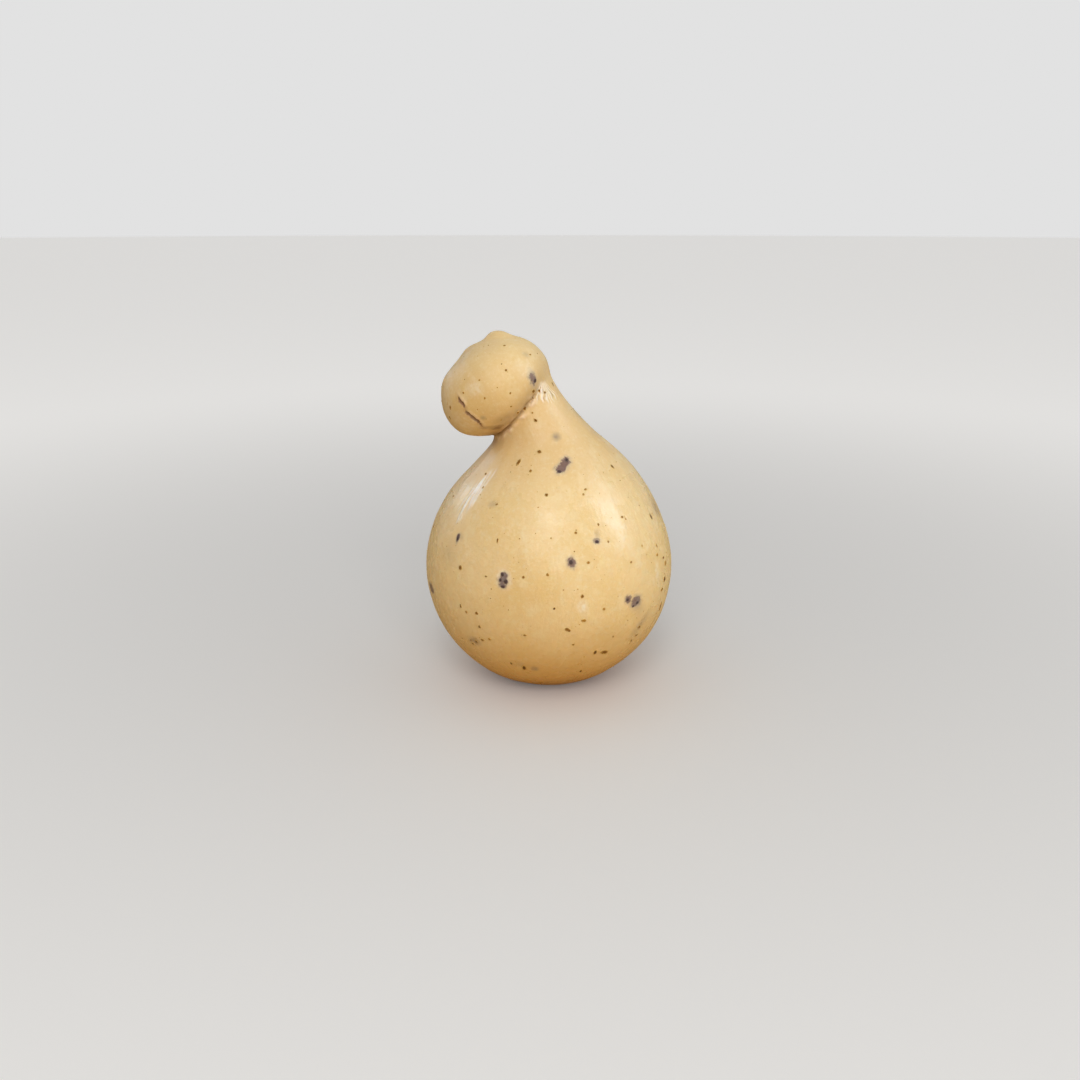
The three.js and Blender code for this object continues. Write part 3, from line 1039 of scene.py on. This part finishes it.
def specks_tree():
    """Geometry Nodes that strew fine specks over a skin, add the placed ones and make each a flat crumb."""
    sockets = {
        "Placed": "Geometry",
        "Skin": "Object",
        "Fine Density": "Float",
        "Fine Smallest": "Float",
        "Fine Largest": "Float",
        "Fine Lowest": "Float",
        "Depth": "Float",
        "Seed": "Int",
        "Finish": "Material",
    }
    made = new_group("truffle_specks", "GeometryNodeTree", sockets, {"Specks": "Geometry"})
    given = add_node(made, "NodeGroupInput", {}).outputs

    def add(kind, inputs, output=0, **settings):
        return add_node(made, kind, inputs, **settings).outputs[output]

    def store(shape, name, kind, value):
        inputs = {"Geometry": shape, "Name": name, "Value": value}
        return add("GeometryNodeStoreNamedAttribute", inputs, data_type=kind)

    def read(name):
        return add("GeometryNodeInputNamedAttribute", {"Name": name}, data_type="FLOAT_VECTOR")

    seeds = []
    for more in range(4):
        seeds.append(add("FunctionNodeIntegerMath", {0: given["Seed"], 1: more}, operation="ADD"))
    where = add("GeometryNodeInputPosition", {})
    height = add("ShaderNodeSeparateXYZ", {0: where}, "Z")
    off_floor = add("FunctionNodeCompare", {0: height, 1: given["Fine Lowest"]}, operation="GREATER_THAN")
    strewn_inputs = {
        "Mesh": add("GeometryNodeObjectInfo", {"Object": given["Skin"]}, "Geometry"),
        "Selection": off_floor,
        "Density": given["Fine Density"],
        "Seed": seeds[0],
    }
    strewn = add_node(made, "GeometryNodeDistributePointsOnFaces", strewn_inputs).outputs
    widths = {2: given["Fine Smallest"], 3: given["Fine Largest"], 8: seeds[1]}
    width = add("FunctionNodeRandomValue", widths, 1)
    tone = add("FunctionNodeRandomValue", {2: FINE_TONES[0], 3: FINE_TONES[1], 8: seeds[2]}, 1)
    anywhere = {0: (-1, -1, -1), 1: (1, 1, 1), 8: seeds[3]}
    along = add("FunctionNodeRandomValue", anywhere, data_type="FLOAT_VECTOR")
    size = add("ShaderNodeCombineXYZ", {0: width, 1: width, 2: given["Depth"]})
    points = store(strewn["Points"], "speck_size", "FLOAT_VECTOR", size)
    points = store(points, "speck_facing", "FLOAT_VECTOR", strewn["Normal"])
    points = store(points, "speck_along", "FLOAT_VECTOR", along)
    points = store(points, "speck_tone", "FLOAT", tone)
    joined = add_node(made, "GeometryNodeJoinGeometry", {})
    for part in (points, add("GeometryNodeMeshToPoints", {"Mesh": given["Placed"]})):
        made.links.new(part, joined.inputs[0])

    upright = add("FunctionNodeAlignRotationToVector", {"Vector": read("speck_facing")}, axis="Z")
    turn_inputs = {"Rotation": upright, "Vector": read("speck_along")}
    turned = add("FunctionNodeAlignRotationToVector", turn_inputs, axis="Y", pivot_axis="Z")
    crumb = add("GeometryNodeMeshIcoSphere", {"Radius": 1.0, "Subdivisions": 2})
    flat = add("ShaderNodeVectorMath", {0: where, 1: (1, 1, 0)}, operation="MULTIPLY")
    rim = add("ShaderNodeVectorMath", {0: flat}, "Value", operation="LENGTH")
    instance_inputs = {
        "Points": joined.outputs[0],
        "Instance": store(crumb, "speck_rim", "FLOAT", rim),
        "Rotation": turned,
        "Scale": read("speck_size"),
    }
    crumbs = add("GeometryNodeInstanceOnPoints", instance_inputs)
    real = add("GeometryNodeRealizeInstances", {"Geometry": crumbs})
    rough = add("ShaderNodeTexNoise", {"Vector": where, "Scale": SPECK_BITES, "Detail": 1.0}, 1)
    centred = add("ShaderNodeVectorMath", {0: rough, 1: (0.5, 0.5, 0.5)}, operation="SUBTRACT")
    shift_inputs = {0: centred, "Scale": given["Fine Largest"]}
    shift = add("ShaderNodeVectorMath", shift_inputs, operation="SCALE")
    bitten = add("GeometryNodeSetPosition", {"Geometry": real, "Offset": shift})
    smooth = add("GeometryNodeSetShadeSmooth", {"Geometry": bitten})
    finished = add("GeometryNodeSetMaterial", {"Geometry": smooth, "Material": given["Finish"]})
    add_node(made, "NodeGroupOutput", {0: finished})
    return made


truffle, tree, surface = new_finish("truffle")
place = add_node(tree, "ShaderNodeTexCoord", {}).outputs["Object"]
height_up = add_node(tree, "ShaderNodeSeparateXYZ", {0: place}).outputs["Z"]
tone = stepped(cloud(place, TONE_SCALE), *TONE_STEP)
tone = sums("ADD", held_value(tree, "speck_tone"), tone)
ramp = add_node(tree, "ShaderNodeValToRGB", {0: tone})
stops = ramp.color_ramp.elements
stops[0].position, stops[0].color = SPECK_TONES[0]
stops[1].position, stops[1].color = SPECK_TONES[-1]
for position, speck_colour in SPECK_TONES[1:-1]:
    stops.new(position).color = speck_colour
rim = stepped(cloud(place, BURIAL_SCALE), *BURIAL_STEP)
buried = stepped(sums("ADD", held_value(tree, "speck_rim"), rim), *BURIED_STEP)
in_shaving = held_value(tree, "speck_in_shaving")
# The specks' veil turns amber towards the foot as the rind does: partly own tone, partly painted warm light.
veil = mixed(stepped(height_up, *AMBER_HEIGHTS), SPECK_VEIL, AMBER)
veil = mixed(in_shaving, veil, SHAVING_VEIL)
core = mixed(in_shaving, ramp.outputs[0], SHAVING_CORE)
tree.links.new(mixed(buried, core, veil), surface.inputs["Base Color"])
film = add_node(tree, "ShaderNodeGroup", {"Place": place, "Fineness": SPECK_FINENESS}, node_tree=wax_film)
roughness = stepped(film.outputs["Dullness"], 0.0, 1.0, *SPECK_ROUGHNESS)
roughness = sums("SUBTRACT", roughness, sums("MULTIPLY", buried, BURIED_GLOSS))
tree.links.new(roughness, surface.inputs["Roughness"])
surface.inputs["Specular IOR Level"].default_value = SPECK_SPECULAR
bump = add_node(tree, "ShaderNodeBump", {**SPECK_BUMP, "Height": film.outputs["Height"]}).outputs["Normal"]
tree.links.new(bump, surface.inputs["Normal"])

placed = []
for x, y, half_width, half_height, degrees, speck_tone in sum(SPECKS.values(), ()):
    spot, facing = on_skin(x, y)
    right, up = flat_axes(facing)
    angle = math.radians(degrees)
    nearest = np.argmin(((skin_points - spot) ** 2).sum(1))
    along = math.cos(angle) * up + math.sin(angle) * right
    size = (half_width * MILLIMETRE, half_height * MILLIMETRE, SPECK_DEPTH)
    placed.append((tuple(spot), facing, along, size, speck_tone, shaving_edge[nearest] < SHAVING_RIM))
spots, *columns = zip(*placed)
speck_mesh = bpy.data.meshes.new("placed_specks")
speck_mesh.from_pydata(spots, [], [])
for name, values in zip(("facing", "along", "size", "tone", "in_shaving"), columns):
    write_values(speck_mesh, "speck_" + name, np.array(values))
specks = new_object("truffle_specks", speck_mesh)

strewing = specks.modifiers.new("strewn", "NODES")
strewing.node_group = specks_tree()
strewing_inputs = {
    "Skin": skin,
    "Fine Density": FINE_DENSITY,
    "Fine Smallest": FINE_SMALLEST,
    "Fine Largest": FINE_LARGEST,
    "Fine Lowest": FINE_LOWEST,
    "Depth": SPECK_DEPTH,
    "Seed": SPECK_SEED,
    "Finish": truffle,
}
for socket in strewing.node_group.interface.items_tree:
    if socket.name in strewing_inputs:
        strewing[socket.identifier] = strewing_inputs[socket.name]
made_mesh = bpy.data.meshes.new_from_object(specks.evaluated_get(bpy.context.evaluated_depsgraph_get()))
specks.modifiers.remove(strewing)
specks.data = made_mesh
specks.data.name = "truffle_specks"
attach(specks, "root")

# Floor and studio: a wide pale floor that runs into a pale backdrop, soft light from above all round and
# five area lights: two in front, a cool softbox and a low warm light on the right, and a cool strip behind
# on the left. Floor and backdrop are paler to the eye than to the cheese, so little light comes from below.
SURROUND_HIGH = 0.50
SURROUND_RISE = (0.20, 0.60)
SURROUND_MIRRORED = 0.45
BACKDROP = 0.76
FLOOR_RADIUS = 12
FLOOR_SIDES = 96
FLOOR_ROUGHNESS = 0.7
FLOOR_COLOUR = (0.80, 0.785, 0.76, 1)
FLOOR_BOUNCE = (0.66, 0.455, 0.200, 1)
FLOOR_GLOW_COLOUR = (1, 0.99, 0.975, 1)
FLOOR_GLOW_STEP = (0.05, 1.0, 0.07, 0.36)
LIGHT_AIM = Vector((0, 0, 0.09))
WHITE_LIGHT = (1, 1, 1)
COOL_LIGHT = (0.80, 1.0, 1.20)
WARM_LIGHT = (1.0, 0.78, 0.46)

# Light: direction from the cheese, distance, width, height, power, colour, whether the wax mirrors it, and
# whether it reaches the floor.
LIGHTS = {
    "front_top": ((0.02, -0.89, 0.45), 1.5, 1.2, 0.8, 9.8, WHITE_LIGHT, False, True),
    "front_small": ((-0.05, -0.70, 0.71), 1.5, 0.30, 0.70, 2.2, WHITE_LIGHT, True, True),
    "right_softbox": ((0.80, -0.18, 0.55), 1.2, 0.44, 0.80, 4.9, COOL_LIGHT, True, False),
    "right_low": ((0.72, -0.68, -0.05), 0.7, 0.50, 0.12, 0.46, WARM_LIGHT, False, False),
    "left_strip": ((-0.74, 0.55, 0.38), 1.2, 0.60, 0.18, 1.05, COOL_LIGHT, True, False),
}

floor_mesh = bpy.data.meshes.new("floor")
shape = bmesh.new()
bmesh.ops.create_circle(shape, cap_ends=True, segments=FLOOR_SIDES, radius=FLOOR_RADIUS)
shape.to_mesh(floor_mesh)
shape.free()
floor = new_object("floor", floor_mesh)
floor_finish, tree, surface = new_finish("pale_floor")
seen = add_node(tree, "ShaderNodeLightPath", {}).outputs["Is Camera Ray"]
tree.links.new(mixed(seen, FLOOR_BOUNCE, FLOOR_COLOUR), surface.inputs["Base Color"])
surface.inputs["Roughness"].default_value = FLOOR_ROUGHNESS
surface.inputs["Emission Color"].default_value = FLOOR_GLOW_COLOUR
floor_place = add_node(tree, "ShaderNodeTexCoord", {}).outputs["Object"]
floor_far = add_node(tree, "ShaderNodeVectorMath", {0: floor_place}, operation="LENGTH").outputs["Value"]
floor_glow = sums("MULTIPLY", stepped(floor_far, *FLOOR_GLOW_STEP), seen)
tree.links.new(floor_glow, surface.inputs["Emission Strength"])
floor_mesh.materials.append(floor_finish)

sky = bpy.data.worlds.new("studio_surround")
sky.use_nodes = True
tree = sky.node_tree
direction = add_node(tree, "ShaderNodeTexCoord", {}).outputs["Generated"]
upward = add_node(tree, "ShaderNodeSeparateXYZ", {0: direction}).outputs["Z"]
tree.nodes["Background"].inputs["Color"].default_value = (1, 1, 1, 1)
ray_kind = add_node(tree, "ShaderNodeLightPath", {}).outputs
surround = stepped(upward, *SURROUND_RISE, 0.0, SURROUND_HIGH)
for kind, strength in (("Is Glossy Ray", SURROUND_MIRRORED), ("Is Camera Ray", BACKDROP)):
    surround = add_node(tree, "ShaderNodeMix", {0: ray_kind[kind], 2: surround, 3: strength}).outputs[0]
tree.links.new(surround, tree.nodes["Background"].inputs["Strength"])
bpy.context.scene.world = sky

lit_alone = bpy.data.collections.new("lit_alone")
lit_alone.objects.link(skin)
lit_alone.objects.link(specks)

for name, (towards, distance, width, height, power, colour, mirrored, on_floor) in LIGHTS.items():
    data = bpy.data.lights.new(name, "AREA")
    data.shape = "RECTANGLE"
    data.size = width
    data.size_y = height
    data.energy = power
    data.color = colour
    light = new_object(name, data)
    light.location = LIGHT_AIM + Vector(towards).normalized() * distance
    light.rotation_euler = (LIGHT_AIM - light.location).to_track_quat("-Z", "Y").to_euler()
    light.visible_glossy = mirrored
    if not on_floor:
        light.light_linking.receiver_collection = lit_alone
